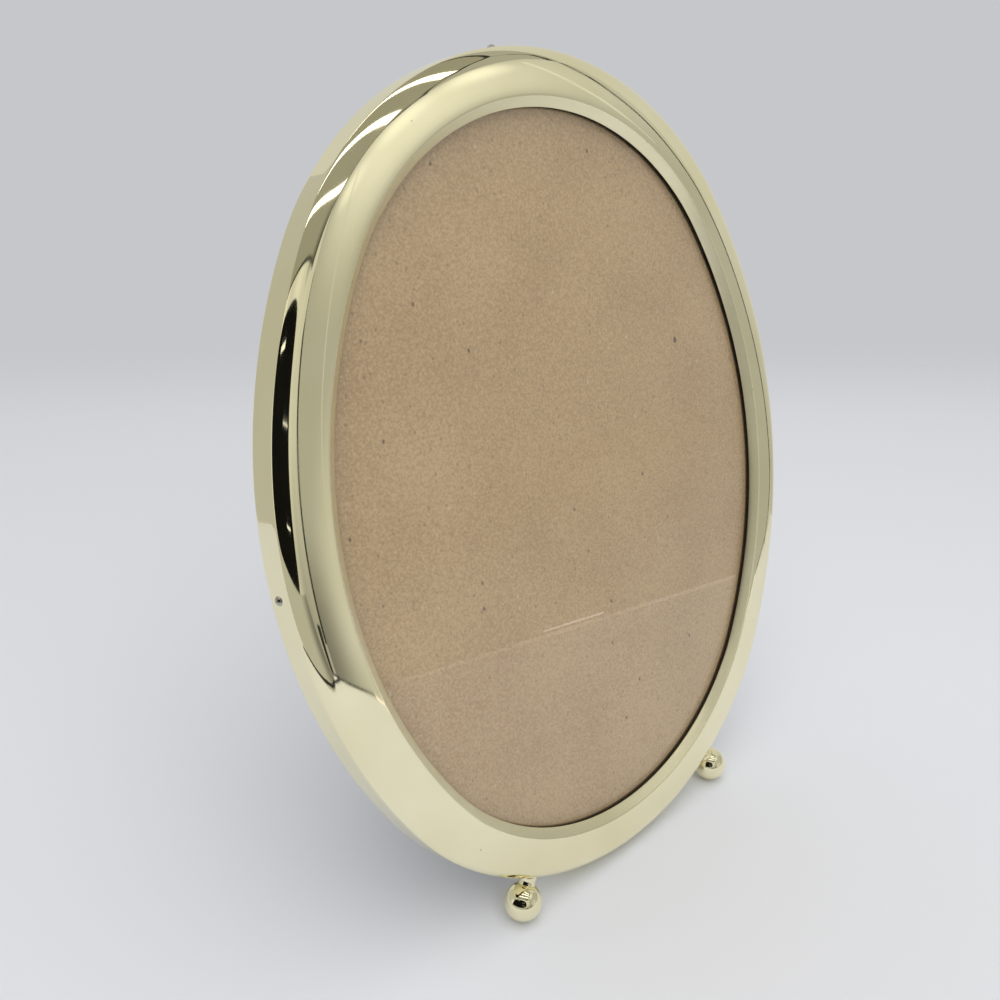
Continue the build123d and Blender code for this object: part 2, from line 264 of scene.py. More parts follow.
# The edge of the right wall's corner panel as distances and heights, the wall's other folds and seams as
# start, end, low and high, and those of the floor as corners
corner_edge = (
    (-0.225, 0), (-0.265, 0.02), (-0.29, 0.05), (-0.295, 0.12), (-0.292, 0.28), (-0.275, 0.37),
    (-0.265, 0.50), (-0.272, 0.62), (-0.28, 0.70),
)
corner_seam_width = 0.010
faint_fold = (0.158, 0.163, 0.10, 0.60)
bright_fold = (-0.188, -0.182, 0.37, 0.66)
right_seams = ((0.325, 0.339, 0.04, 0.52), (0, 0.33, 0.688, 0.70), (0.345, 0.375, 0, 0.06))
foot_crease = ((-0.15, 0.396), (0.15, 0.396), (0.15, 0.409), (-0.15, 0.409))
crease_glint = ((-0.03, 0.400), (0.02, 0.400), (0.02, 0.407), (-0.03, 0.407))
foot_seams = (
    ((0.15, 0.400), (0.34, 0.396), (0.34, 0.41), (0.15, 0.41)),
    ((-0.225, 0.402), (-0.16, 0.402), (-0.16, 0.41), (-0.225, 0.41)),
)
apron_start = 0.35
apron_fold = 0.39
apron_rise = 0.09
opening_middle = (-0.20, 0.33)
opening_half_size = (0.54, 0.272)
opening_corner_count = 96
opening_squareness = 0.75

# The room's lamps as start, end, low and size, and the tent's rows of lamps as middle, where a row bends
# from, how much it bends, and its end
room_lamps = ((-0.28, -0.12, 0.485, 0.018), (0.05, 0.26, 0.345, 0.005), (0.06, 0.18, 0.185, 0.005))
lamp_rows = ((0.32, 0.10, -0.28, 0.58), (0.12, 0.10, -0.19, 0.55), (-0.035, 0.25, -0.35, 0.47))
lamp_row_start = -0.48
lamp_pitch = 0.028
lamp_radius = 0.021
lamp_corner_count = 12

# Seams of the ceiling and the floor, as distances to the front and to the right
ceiling_back = (
    (-0.29, -0.60), (-0.29, -0.11), (-0.255, -0.02), (-0.21, 0.10), (-0.17, 0.27), (-0.10, 0.37),
    (-0.06, 0.49), (0.01, 0.585),
)
ceiling_corner = ((-0.28, 0.585), (-0.27, 0.35), (-0.22, 0.29), (-0.17, 0.27))
seam_width = 0.018
floor_gap = (
    (0.314, -0.16), (0.33, -0.11), (0.35, 0.01), (0.36, 0.10), (0.35, 0.22), (0.34, 0.32), (0.30, 0.40),
)

front_way = Vector((sin(tent_turn), -cos(tent_turn), 0))
right_way = Vector((cos(tent_turn), sin(tent_turn), 0))


def in_tent(forward, across, height):
    """A point from its distance to the front, to the right and above the floor."""
    return front_way * forward + right_way * across + Vector((0, 0, height))


def glow(name, code, level, *patches):
    """A surface that shines evenly, or with soft patches of other levels round places on it."""
    material = bpy.data.materials.new(name)
    material.use_nodes = True
    tree = material.node_tree
    tree.nodes.clear()
    strength = level
    for middle, reach, patch_level in patches:
        place = add(tree, "ShaderNodeTexCoord")
        away = add(tree, "ShaderNodeVectorMath", {"operation": "DISTANCE"}, {
            0: place.outputs["Object"], 1: in_tent(*middle),
        })
        strength = add(tree, "ShaderNodeMapRange", {"interpolation_type": "SMOOTHERSTEP"}, {
            "Value": away.outputs["Value"], "From Max": reach, "To Min": patch_level, "To Max": strength,
        }).outputs["Result"]
    light = add(tree, "ShaderNodeEmission", {}, {"Color": linear(code), "Strength": strength})
    add(tree, "ShaderNodeOutputMaterial", {}, {"Surface": light})
    return material


def tent_faces(name, faces, material):
    """Flat faces of the tent in one object, each a list of forward, across and height."""
    points = [in_tent(*corner) for face in faces for corner in face]
    turns = []
    for face in faces:
        start = sum(len(turn) for turn in turns)
        turns.append(range(start, start + len(face)))
    mesh = bpy.data.meshes.new(name)
    mesh.from_pydata(points, [], turns)
    piece = new_object(name, mesh, material)
    piece.visible_camera = False
    piece.visible_diffuse = False
    piece.visible_transmission = False
    piece.visible_volume_scatter = False
    piece.visible_shadow = False


def on_right(forward, height, gap=0):
    """A point on the right wall, which leans out from its foot, or a small gap in front of it."""
    return (forward, right_foot + right_slope * height - gap, height)


def right_patch(start, end, low, high, gap=0):
    """One flat part of the right wall, between two distances and two heights."""
    corners = ((start, low), (end, low), (end, high), (start, high))
    return [on_right(forward, height, gap) for forward, height in corners]


def strip(first, second):
    """One face right across the tent, between two places given as distance to the front and height."""
    (f1, h1), (f2, h2) = first, second
    return [(f1, tent_left, h1), (f1, tent_right, h1), (f2, tent_right, h2), (f2, tent_left, h2)]


def at_height(line, height):
    """Places on the tent's floor or ceiling as points at one height."""
    return [(forward, across, height) for forward, across in line]


def ribbon(line, height):
    """Flat faces as wide as a seam, along a line on the tent's floor or ceiling."""
    return [
        at_height([(f1, a1), (f2, a2), (f2 + seam_width, a2), (f1 + seam_width, a1)], height)
        for (f1, a1), (f2, a2) in zip(line, line[1:])
    ]


corner_line = corner_edge + ((tent_back, tent_top), (tent_back, 0))
ceiling_line = ceiling_back + ((tent_front, tent_right), (tent_front, tent_left))
over_top = tent_top + layer_gap
under_top = tent_top - layer_gap
low = layer_gap / 2
for name, code, light, faces in (
    ("front", cloth_white, front_light, [strip((tent_front, 0), (tent_front, tent_top))]),
    ("back", cloth_white, back_light, [strip((tent_back, 0), (tent_back, tent_top))]),
    ("left", cloth_white, left_light, [[
        (tent_front, tent_left, 0), (tent_back, tent_left, 0),
        (tent_back, tent_left, tent_top), (tent_front, tent_left, tent_top),
    ]]),
    ("right", cloth_white, right_light, [right_patch(tent_back, front_corner, 0, tent_top)]),
    ("flap", cloth_white, flap_light, [right_patch(front_corner, tent_front, 0, tent_top)]),
    ("corner", cloth_white, (corner_level,), [[on_right(*point, layer_gap) for point in corner_line]]),
    ("ceiling", ceiling_white, ceiling_light, [at_height(ceiling_line, tent_top)]),
    ("ceiling_rear", cloth_white, (ceiling_rear_level,), [
        strip((tent_back, over_top), (tent_front, over_top)),
    ]),
    ("apron", cloth_white, apron_light, [
        strip((apron_start, low), (apron_fold, low)), strip((apron_fold, low), (tent_front, apron_rise)),
    ]),
):
    tent_faces(f"tent_{name}", faces, glow(f"{name}_cloth", code, *light))

opening = []
for step in range(opening_corner_count):
    angle = 2 * pi * step / opening_corner_count
    across, height = [
        copysign(abs(share) ** opening_squareness, share) * half + middle
        for share, half, middle in zip((cos(angle), sin(angle)), opening_half_size, opening_middle)
    ]
    opening.append((tent_front - layer_gap, across, height))
tent_faces("tent_opening", [opening], glow("dark_room", plain_white, dark_level))
near = tent_front - 2 * layer_gap
tent_faces("tent_room_lamps", [
    [(near, start, low), (near, end, low), (near, end, low + size), (near, start, low + size)]
    for start, end, low, size in room_lamps
], glow("room_lamps", plain_white, room_lamp_level))

lamps = []
for middle, middle_across, bend, row_end in lamp_rows:
    for number in range(int((row_end - lamp_row_start) / lamp_pitch)):
        across = lamp_row_start + number * lamp_pitch
        row = middle + bend * (across - middle_across) ** 2
        lamps.append([(
            row + lamp_radius * cos(2 * pi * step / lamp_corner_count),
            across + lamp_radius * sin(2 * pi * step / lamp_corner_count), under_top,
        ) for step in range(lamp_corner_count)])
tent_faces("tent_lamps", lamps, glow("small_lamps", plain_white, lamp_level))

front_line = ((tent_front - seam_width, tent_left), (tent_front - seam_width, tent_right))
seams = ribbon(ceiling_back, under_top) + ribbon(ceiling_corner, under_top)
seams += ribbon(front_line, under_top) + ribbon(floor_gap, layer_gap)
seams += [right_patch(*seam, layer_gap) for seam in right_seams]
seams += [at_height(seam, layer_gap) for seam in foot_seams]
for (f1, h1), (f2, h2) in zip(corner_edge, corner_edge[1:]):
    seams.append([on_right(f, h, 2 * layer_gap) for f, h in (
        (f1, h1), (f2, h2), (f2 + corner_seam_width, h2), (f1 + corner_seam_width, h1),
    )])
tent_faces("tent_seams", seams, glow("dark_seams", plain_white, seam_level))
for name, code, level, face in (
    ("faint_fold", cloth_white, faint_fold_level, right_patch(*faint_fold, layer_gap)),
    ("bright_fold", cloth_white, bright_fold_level, right_patch(*bright_fold, layer_gap)),
    ("foot_crease", crease_white, crease_level, at_height(foot_crease, layer_gap)),
    ("crease_glint", crease_white, glint_level, at_height(crease_glint, 2 * layer_gap)),
):
    tent_faces(f"tent_{name}", [face], glow(name, code, level))


# Rim core
# The oval ring of pressed fibreboard inside the metal. It is moulded, edge-sanded and stained, which
# leaves it dark and dull with faint brown fibres. Only its back and its rabbet show.
lean = radians(13)
opening_half_width = 95.25
opening_half_height = 121.8
end_radius = 85.0
glass_front = 9.1
glass_thickness = 2.0
fibre_size = 1.4  # coarser than real fibres, so that they show
fibre_stretch = 0.25
fibre_weight = 0.7
board_blotch_size = 30.0
board_contrast = (0.55, 1.15)
stain_dark = "#1E1712"
stain_brown = "#33261D"
stain_roughness = 0.7
fibre_bump = 0.03 * MM

side_radius = (opening_half_width ** 2 + (opening_half_height - end_radius) ** 2 - end_radius ** 2) / (
    2 * (opening_half_width - end_radius)
)
side_centre = side_radius - opening_half_width
end_centre = opening_half_height - end_radius
upward = Vector((0, sin(lean), cos(lean)))
forward = Vector((0, -cos(lean), sin(lean)))
glass_low, glass_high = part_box("glass_pane")
glass_middle = (Vector(glass_low) + Vector(glass_high)) / 2
oval_middle = glass_middle - forward * (glass_front - glass_thickness / 2) * MM
standing = Matrix.Translation(oval_middle) @ Matrix((
    (1, upward.x, forward.x, 0), (0, upward.y, forward.y, 0), (0, upward.z, forward.z, 0), (0, 0, 0, 1),
)) @ Matrix.Scale(MM, 4)


def dress(name, material):
    """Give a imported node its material."""
    mesh = nodes[name].data
    mesh.materials.clear()
    mesh.materials.append(material)


def per_metre(size):
    """How often a pattern repeats in a metre, from its size in millimetres."""
    return 1 / (size * MM)


def grain(tree, size, detail=3, stretch=(1, 1, 1)):
    """A noise over the piece's own coordinates, with its cell size in millimetres."""
    place = add(tree, "ShaderNodeTexCoord")
    upright = add(tree, "ShaderNodeMapping", {}, {
        "Vector": place.outputs["Object"], "Rotation": (lean, 0, 0), "Scale": stretch,
    })
    noise = add(tree, "ShaderNodeTexNoise", {}, {
        "Vector": upright, "Scale": per_metre(size), "Detail": detail,
    })
    return noise.outputs["Fac"]


def relief(tree, shader, height, depth):
    """Raise the surface by a height pattern."""
    bump = add(tree, "ShaderNodeBump", {}, {"Height": height, "Distance": depth, "Strength": 1})
    tree.links.new(bump.outputs["Normal"], shader.inputs["Normal"])


def board(name, dark, light, stretch, roughness):
    """A pressed board: blotches in two tones under a fibre grain, which is also a little raised."""
    material, tree, shader = new_material(name)
    blotch = grain(tree, board_blotch_size, detail=2)
    fibre = grain(tree, fibre_size, detail=4, stretch=stretch)
    both = add(tree, "ShaderNodeMath", {"operation": "MULTIPLY_ADD"}, {
        0: fibre, 1: fibre_weight, 2: blotch,
    })
    share = add(tree, "ShaderNodeMapRange", {}, {
        "Value": both, "From Min": board_contrast[0], "From Max": board_contrast[1],
    })
    colour = add(tree, "ShaderNodeValToRGB", {"stops": [(0, dark), (1, light)]}, {"Fac": share})
    tree.links.new(colour.outputs["Color"], shader.inputs["Base Color"])
    shader.inputs["Roughness"].default_value = roughness
    relief(tree, shader, fibre, fibre_bump)
    return material


stained_fibreboard = board(
    "stained_fibreboard", stain_dark, stain_brown, (1, fibre_stretch, 1), stain_roughness,
)
dress("rim_core", stained_fibreboard)


# Rim shell
# The front of the frame is one pressing of thin sheet brass, rolled over the core: side band, crease,
# round shoulder, slightly crowned face and sloping lip. It is polished, plated in pale gold and lacquered,
# so it mirrors the room, with the faint waves of the pressing and a few specks in the lacquer.
back_edge_offset = 18.9
crease_offset = 17.9
crease_height = 9.2
shoulder_radius = 6.5
shoulder_start_tilt = radians(60)
shoulder_end_tilt = radians(9)
lip_offset = 3.0
lip_height = 13.0
sight_height = 10.25
face_crown = 0.25
shell_wall = 0.8
corner_reach = 0.42
edge_reach = 0.25
sample_length = 0.06
kept_turn = radians(2.2)
kept_length = 1.6
shoulder_steps = 24
face_steps = 12
ring_steps = 640
junction_blend = 0.16

gold_tones = ((0.35, "#F3EBC5"), (0.65, "#FAF3D1"))
speck_brown = "#A2966A"
speck_strength = 0.6
# The lip's colour is deepened a little: a painted shade for the darker reflections on the lip. Its higher
# roughness is the real satin finish.
lip_shade_tone = "#A89D78"
lip_shade_share = 0.12
tone_size = 45.0
wave_size = 26.0
wave_depth = 0.022 * MM
haze_size = 9.0
haze_edges = (0.3, 0.75)
speck_size = 7.0
speck_edges = (0.035, 0.06)
speck_rarity = 0.8
polish_range = (0.025, 0.075)
lip_roughness = 0.27
satin_to = 2.6
mirror_from = 3.2


def outer_outline():
    """The rim's outer face from its sight edge to its back edge, as offset outward and height."""
    middle = (
        crease_offset - shoulder_radius * sin(shoulder_start_tilt),
        crease_height - shoulder_radius * cos(shoulder_start_tilt),
    )
    shoulder = []
    for step in range(shoulder_steps + 1):
        tilt = shoulder_end_tilt + (shoulder_start_tilt - shoulder_end_tilt) * step / shoulder_steps
        shoulder.append((middle[0] + shoulder_radius * sin(tilt), middle[1] + shoulder_radius * cos(tilt)))
    face = []
    for step in range(face_steps):
        share = step / face_steps
        crown = 4 * face_crown * share * (1 - share)
        across = lip_offset + share * (shoulder[0][0] - lip_offset)
        height = lip_height + share * (shoulder[0][1] - lip_height)
        face.append((across, height + crown))
    return [(0, sight_height)] + face + shoulder + [(back_edge_offset, 0)]


def even_samples(points, closed):
    """Points a short even step apart along an outline."""
    samples = []
    ends = points + points[:1] if closed else points
    for start, end in zip(ends, ends[1:]):
        length = hypot(end[0] - start[0], end[1] - start[1])
        count = max(1, round(length / sample_length))
        for step in range(count):
            share = step / count
            samples.append((start[0] + share * (end[0] - start[0]), start[1] + share * (end[1] - start[1])))
    return samples if closed else samples + points[-1:]


def softened(points, reach, closed):
    """Round an outline's corners, by the mean of the points within a reach of each one."""
    samples = even_samples(points, closed)
    width = round(reach / sample_length)
    result = []
    for place in range(len(samples)):
        if closed:
            near = [samples[(place + k) % len(samples)] for k in range(-width, width + 1)]
        else:
            span = min(width, place, len(samples) - 1 - place)
            near = samples[place - span:place + span + 1]
        result.append((sum(p[0] for p in near) / len(near), sum(p[1] for p in near) / len(near)))
    return result


def thinned(points):
    """Keep a closed outline's points where it turns or has run on for a while."""
    kept = [points[0]]
    for here, after in zip(points[1:], points[2:] + points[:1]):
        ahead = atan2(after[1] - here[1], after[0] - here[0])
        behind = atan2(here[1] - kept[-1][1], here[0] - kept[-1][0])
        turned = abs((ahead - behind + pi) % (2 * pi) - pi)
        if turned > kept_turn or hypot(here[0] - kept[-1][0], here[1] - kept[-1][1]) > kept_length:
            kept.append(here)
    return kept


def inner_outline(outer):
    """The outline moved inward by the sheet's thickness."""
    moved = []
    for before, here, after in zip(outer[:1] + outer, outer, outer[1:] + outer[-1:]):
        along = Vector((after[0] - before[0], after[1] - before[1])).normalized()
        moved.append((here[0] + shell_wall * along.y, here[1] - shell_wall * along.x))
    return moved


def section_object(name, points):
    """A closed curve in the XY plane, for a sweep to carry."""
    curve = bpy.data.curves.new(name, "CURVE")
    spline = curve.splines.new("POLY")
    spline.points.add(len(points) - 1)
    for point, (across, height) in zip(spline.points, points):
        point.co = (across, -height, 0, 1)
    spline.use_cyclic_u = True
    piece = bpy.data.objects.new(name, curve)
    bpy.context.scene.collection.objects.link(piece)
    return piece


def new_geometry_tree(name, inputs):
    """A Geometry Nodes tree with named inputs, its input node and its output node."""
    tree = bpy.data.node_groups.new(name, "GeometryNodeTree")
    tree.interface.new_socket(name="Geometry", in_out="INPUT", socket_type="NodeSocketGeometry")
    tree.interface.new_socket(name="Geometry", in_out="OUTPUT", socket_type="NodeSocketGeometry")
    for label, kind in inputs:
        tree.interface.new_socket(name=label, in_out="INPUT", socket_type=kind)
    return tree, add(tree, "NodeGroupInput"), add(tree, "NodeGroupOutput")


def end_tree(tree, result, geometry, finish):
    """End a Geometry Nodes tree in one real mesh with one material."""
    real = add(tree, "GeometryNodeRealizeInstances", {}, {"Geometry": geometry})
    finished = add(tree, "GeometryNodeSetMaterial", {}, {"Geometry": real, "Material": finish})
    tree.links.new(finished.outputs["Geometry"], result.inputs["Geometry"])


def grown(name, tree, values, start_mesh=None):
    """Run a Geometry Nodes tree with values for its named inputs, and keep the result as a plain mesh."""
    start = bpy.data.objects.new(name + "_start", start_mesh or bpy.data.meshes.new(name))
    bpy.context.scene.collection.objects.link(start)
    modifier = start.modifiers.new("growth", "NODES")
    modifier.node_group = tree
    for item in tree.interface.items_tree:
        if item.in_out == "INPUT" and item.name in values:
            modifier[item.identifier] = values[item.name]
    bpy.context.view_layer.update()
    graph = bpy.context.evaluated_depsgraph_get()
    mesh = bpy.data.meshes.new_from_object(start.evaluated_get(graph), depsgraph=graph)
    start.modifiers.clear()
    bpy.data.objects.remove(start)
    return mesh


sweep, given, result = new_geometry_tree("oval_sweep", [
    ("Side Radius", "NodeSocketFloat"), ("Side Centre", "NodeSocketFloat"),
    ("End Radius", "NodeSocketFloat"), ("End Centre", "NodeSocketFloat"),
    ("Blend From", "NodeSocketFloat"), ("Blend To", "NodeSocketFloat"),
    ("Steps", "NodeSocketInt"), ("Section", "NodeSocketObject"), ("Finish", "NodeSocketMaterial"),
    ("Satin To", "NodeSocketFloat"), ("Mirror From", "NodeSocketFloat"),
])
circle = add(sweep, "GeometryNodeCurvePrimitiveCircle", {}, {
    "Resolution": given.outputs["Steps"], "Radius": 1.0,
})
outward = add(sweep, "GeometryNodeInputPosition")
parts = add(sweep, "ShaderNodeSeparateXYZ", {}, {0: outward})
sideways = add(sweep, "ShaderNodeMath", {"operation": "ABSOLUTE"}, {0: parts.outputs["X"]})
arc_places = []
for arc, axis, operation in (("Side", "X", "SUBTRACT"), ("End", "Y", "ADD")):
    sign = add(sweep, "ShaderNodeMath", {"operation": "SIGN"}, {0: parts.outputs[axis]})
    centre = add(sweep, "ShaderNodeMath", {"operation": "MULTIPLY"}, {
        0: sign, 1: given.outputs[f"{arc} Centre"],
    })
    middle = add(sweep, "ShaderNodeCombineXYZ", {}, {axis: centre})
    reach = add(sweep, "ShaderNodeVectorMath", {"operation": "SCALE"}, {
        0: outward, "Scale": given.outputs[f"{arc} Radius"],
    })
    arc_places.append(add(sweep, "ShaderNodeVectorMath", {"operation": operation}, {
        0: reach, 1: middle,
    }).outputs["Vector"])
side_share = add(sweep, "ShaderNodeMapRange", {"interpolation_type": "SMOOTHERSTEP"}, {
    "Value": sideways, "From Min": given.outputs["Blend From"], "From Max": given.outputs["Blend To"],
})
path_place = add(sweep, "ShaderNodeMix", {"data_type": "VECTOR"}, {
    0: side_share, 4: arc_places[1], 5: arc_places[0],
})
path = add(sweep, "GeometryNodeSetPosition", {}, {"Geometry": circle, "Position": path_place.outputs[1]})
level = add(sweep, "GeometryNodeSetCurveNormal", {"mode": "Z_UP"}, {"Curve": path})
section = add(sweep, "GeometryNodeObjectInfo", {}, {"Object": given.outputs["Section"]})
lip_share = add(sweep, "ShaderNodeMapRange", {}, {
    "Value": parts.outputs["X"], "From Min": given.outputs["Satin To"],
    "From Max": given.outputs["Mirror From"], "To Min": 1, "To Max": 0,
})
marked = add(sweep, "GeometryNodeStoreNamedAttribute", {"data_type": "FLOAT", "domain": "POINT"}, {
    "Geometry": section.outputs["Geometry"], "Name": "lip", "Value": lip_share,
})
ring = add(sweep, "GeometryNodeCurveToMesh", {}, {"Curve": level, "Profile Curve": marked})
smooth = add(sweep, "GeometryNodeSetShadeSmooth", {}, {"Geometry": ring})
end_tree(sweep, result, smooth.outputs["Geometry"], given.outputs["Finish"])


def outward_normals(mesh):
    """Turn every face of a closed mesh outward."""
    shape = bmesh.new()
    shape.from_mesh(mesh)
    bmesh.ops.remove_doubles(shape, verts=shape.verts, dist=1e-9)
    bmesh.ops.recalc_face_normals(shape, faces=shape.faces)
    shape.to_mesh(mesh)
    shape.free()


def scattered(tree, place, size, edges, rarity):
    """A mask of small scattered specks, at most one in each cell of a size."""
    cells = add(tree, "ShaderNodeTexVoronoi", {}, {
        "Vector": place, "Scale": per_metre(size), "Randomness": 1,
    })
    speck = add(tree, "ShaderNodeMapRange", {}, {
        "Value": cells.outputs["Distance"], "From Min": edges[0], "From Max": edges[1],
        "To Min": 1, "To Max": 0,
    })
    chance = add(tree, "ShaderNodeSeparateColor", {}, {"Color": cells.outputs["Color"]})
    some = add(tree, "ShaderNodeMath", {"operation": "GREATER_THAN"}, {0: chance.outputs["Red"], 1: rarity})
    both = add(tree, "ShaderNodeMath", {"operation": "MULTIPLY"}, {0: speck, 1: some})
    return both.outputs["Value"]


def laid_over(tree, colour, mask, strength, code):
    """A second colour laid over the first by a mask, at a strength."""
    amount = add(tree, "ShaderNodeMath", {"operation": "MULTIPLY"}, {0: mask, 1: strength})
    layer = add(tree, "ShaderNodeMix", {"data_type": "RGBA"}, {0: amount, 6: colour, 7: linear(code)})
    return layer.outputs[2]


polished_gold, tree, shader = new_material("polished_gold_plating")
colour = add(tree, "ShaderNodeValToRGB", {"stops": gold_tones}, {"Fac": grain(tree, tone_size)})
place = add(tree, "ShaderNodeTexCoord")
specks = scattered(tree, place.outputs["Object"], speck_size, speck_edges, speck_rarity)
spotted = laid_over(tree, colour.outputs["Color"], specks, speck_strength, speck_brown)
# The lip attribute gives the lip its real satin roughness, and a painted shade in its colour
lip = add(tree, "ShaderNodeAttribute", {"attribute_name": "lip"})
lip_shaded = laid_over(tree, spotted, lip.outputs["Fac"], lip_shade_share, lip_shade_tone)
tree.links.new(lip_shaded, shader.inputs["Base Color"])
shader.inputs["Metallic"].default_value = 1
polish = add(tree, "ShaderNodeMapRange", {}, {
    "Value": grain(tree, haze_size, detail=4), "From Min": haze_edges[0], "From Max": haze_edges[1],
    "To Min": polish_range[0], "To Max": polish_range[1],
})
brushed = add(tree, "ShaderNodeMath", {"operation": "MULTIPLY_ADD"}, {
    0: lip.outputs["Fac"], 1: lip_roughness, 2: polish,
})
tree.links.new(brushed.outputs["Value"], shader.inputs["Roughness"])
relief(tree, shader, grain(tree, wave_size, detail=1), wave_depth)

outer = softened(outer_outline(), corner_reach, False)
sheet_outline = outer + inner_outline(outer)[::-1]
sheet_section = thinned(softened(sheet_outline, edge_reach, True))
section_piece = section_object("rim_section", sheet_section)
meet_share = side_centre / hypot(side_centre, end_centre)
rim_mesh = grown("rim_shell_pressed", sweep, {
    "Side Radius": side_radius, "Side Centre": side_centre, "End Radius": end_radius,
    "End Centre": end_centre, "Blend From": meet_share - junction_blend,
    "Blend To": meet_share + junction_blend, "Steps": ring_steps, "Section": section_piece,
    "Finish": polished_gold, "Satin To": satin_to, "Mirror From": mirror_from,
})
bpy.data.objects.remove(section_piece)
rim_mesh.transform(standing)
outward_normals(rim_mesh)
rim_shell = new_object("rim_shell_pressed", rim_mesh)
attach(rim_shell, "frame")
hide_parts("rim_shell")


# Rim nails
# Four small domed nails of nickelled steel hold the shell to the core, through its side band. Their
# plating is slightly hazy, so they shine more softly than the rim.
nail_angles = (96.3, 180.75, 276.0, 0.0)
nail_heights = (6.8, 4.0, 6.0, 4.6)
nail_head_radius = 1.45
nail_head_height = 0.9
nail_skirt = 0.5
nail_steps = 10
nickel_tones = ((0.3, "#8F8D86"), (0.6, "#C4C2BB"))
nickel_haze_size = 0.6
nickel_roughness = 0.18
turning_steps = 48
band_slope = (back_edge_offset - crease_offset) / crease_height


def oval_frame(angle, offset, height):
    """A place on the rim whose third axis points outward, as a matrix over the oval's own axes."""
    out = Vector((cos(radians(angle)), sin(radians(angle)), 0))
    if abs(out.x) >= meet_share:
        middle = Vector((-side_centre if out.x > 0 else side_centre, 0, height))
        radius = side_radius
    else:
        middle = Vector((0, end_centre if out.y > 0 else -end_centre, height))
        radius = end_radius
    spot = middle + out * (radius + offset)
    across = Vector((0, 0, 1)).cross(out)
    return Matrix((
        (across.x, 0, out.x, spot.x), (across.y, 0, out.y, spot.y), (0, 1, 0, spot.z), (0, 0, 0, 1),
    ))


def turned(name, profile, place):
    """A turned piece from its profile, as radius and height along the place's third axis."""
    shape = bmesh.new()
    rings = []
    for radius, height in profile:
        if radius == 0:
            rings.append([shape.verts.new((0, 0, height))] * turning_steps)
            continue
        ring = []
        for step in range(turning_steps):
            angle = 2 * pi * step / turning_steps
            ring.append(shape.verts.new((radius * cos(angle), radius * sin(angle), height)))
        rings.append(ring)
    for low, high in zip(rings, rings[1:]):
        for step in range(turning_steps):
            ahead = (step + 1) % turning_steps
            corners = []
            for corner in (low[step], low[ahead], high[ahead], high[step]):
                if corner not in corners:
                    corners.append(corner)
            shape.faces.new(corners)
    bmesh.ops.recalc_face_normals(shape, faces=shape.faces)
    for face in shape.faces:
        face.smooth = True
    mesh = bpy.data.meshes.new(name)
    shape.to_mesh(mesh)
    shape.free()
    mesh.transform(place)
    return mesh


def dome_profile(radius, height, skirt):
    """A low dome over a short skirt, closed underneath."""
    dome_radius = (radius ** 2 + height ** 2) / (2 * height)
    spread = asin(radius / dome_radius)
    profile = [(0, -skirt), (radius, -skirt)]
    for step in range(nail_steps + 1):
        angle = spread * (1 - step / nail_steps)
        profile.append((dome_radius * sin(angle), dome_radius * cos(angle) - dome_radius + height))
    profile[-1] = (0, height)
    return profile


heads, given, result = new_geometry_tree("nail_heads", [
    ("Head", "NodeSocketObject"), ("Finish", "NodeSocketMaterial"),
])
outward = add(heads, "GeometryNodeInputNamedAttribute", {"data_type": "FLOAT_VECTOR"}, {"Name": "outward"})
aim = add(heads, "FunctionNodeAlignRotationToVector", {"axis": "Z"}, {"Vector": outward})
head = add(heads, "GeometryNodeObjectInfo", {}, {"Object": given.outputs["Head"]})
placed = add(heads, "GeometryNodeInstanceOnPoints", {}, {
    "Points": given.outputs["Geometry"], "Instance": head.outputs["Geometry"], "Rotation": aim,
})
end_tree(heads, result, placed.outputs["Instances"], given.outputs["Finish"])

nickel, tree, shader = new_material("nickelled_steel")
colour = add(tree, "ShaderNodeValToRGB", {"stops": nickel_tones}, {"Fac": grain(tree, nickel_haze_size)})
tree.links.new(colour.outputs["Color"], shader.inputs["Base Color"])
shader.inputs["Metallic"].default_value = 1
shader.inputs["Roughness"].default_value = nickel_roughness

nail_points = bpy.data.meshes.new("nail_points")
nail_frames = [
    oval_frame(angle, back_edge_offset - band_slope * height, height)
    for angle, height in zip(nail_angles, nail_heights)
]
nail_points.from_pydata([standing @ f.translation for f in nail_frames], [], [])
facing = nail_points.attributes.new("outward", "FLOAT_VECTOR", "POINT")
for number, nail in enumerate(nail_frames):
    facing.data[number].vector = (standing.to_3x3() @ nail.col[2].to_3d()).normalized()
head_mesh = turned(
    "nail_head", dome_profile(nail_head_radius, nail_head_height, nail_skirt), Matrix.Scale(MM, 4)
)
head_piece = new_object("nail_head", head_mesh)
nail_mesh = grown("rim_nail_heads", heads, {"Head": head_piece, "Finish": nickel}, nail_points)
bpy.data.objects.remove(head_piece)
rim_nails = new_object("rim_nail_heads", nail_mesh)
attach(rim_nails, "frame")
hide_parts("rim_pins")


# Ball feet
# Two solid brass balls, turned and plated like the rim. Each sits on a short turned neck, and a
# steel stud goes up through both into the core.
foot_half_spacing = 53.0
foot_height = 6.8
ball_radius = 6.6
stem_radius = 3.0
stem_waist = 2.75
stem_length = 2.75
stem_sink = 1.6
ball_steps = 48
stem_steps = 8

foot_reach = end_radius + back_edge_offset - band_slope * foot_height + stem_length
ball_seat = sqrt(ball_radius ** 2 - stem_radius ** 2)
foot_angle = degrees(asin(foot_half_spacing / (foot_reach + ball_seat)))

ball_profile = [(0, -ball_seat)]
seat_angle = asin(stem_radius / ball_radius)
for step in range(ball_steps + 1):
    angle = seat_angle + (pi - seat_angle) * step / ball_steps
    ball_profile.append((ball_radius * sin(angle), -ball_radius * cos(angle)))
ball_profile[-1] = (0, ball_radius)
stem_profile = [(0, -stem_length - stem_sink), (stem_radius, -stem_length - stem_sink)]
for step in range(stem_steps + 1):
    share = step / stem_steps
    waist = (stem_radius - stem_waist) * sin(pi * share) ** 2
    stem_profile.append((stem_radius - waist, -stem_length * (1 - share)))
stem_profile.append((0, 0))

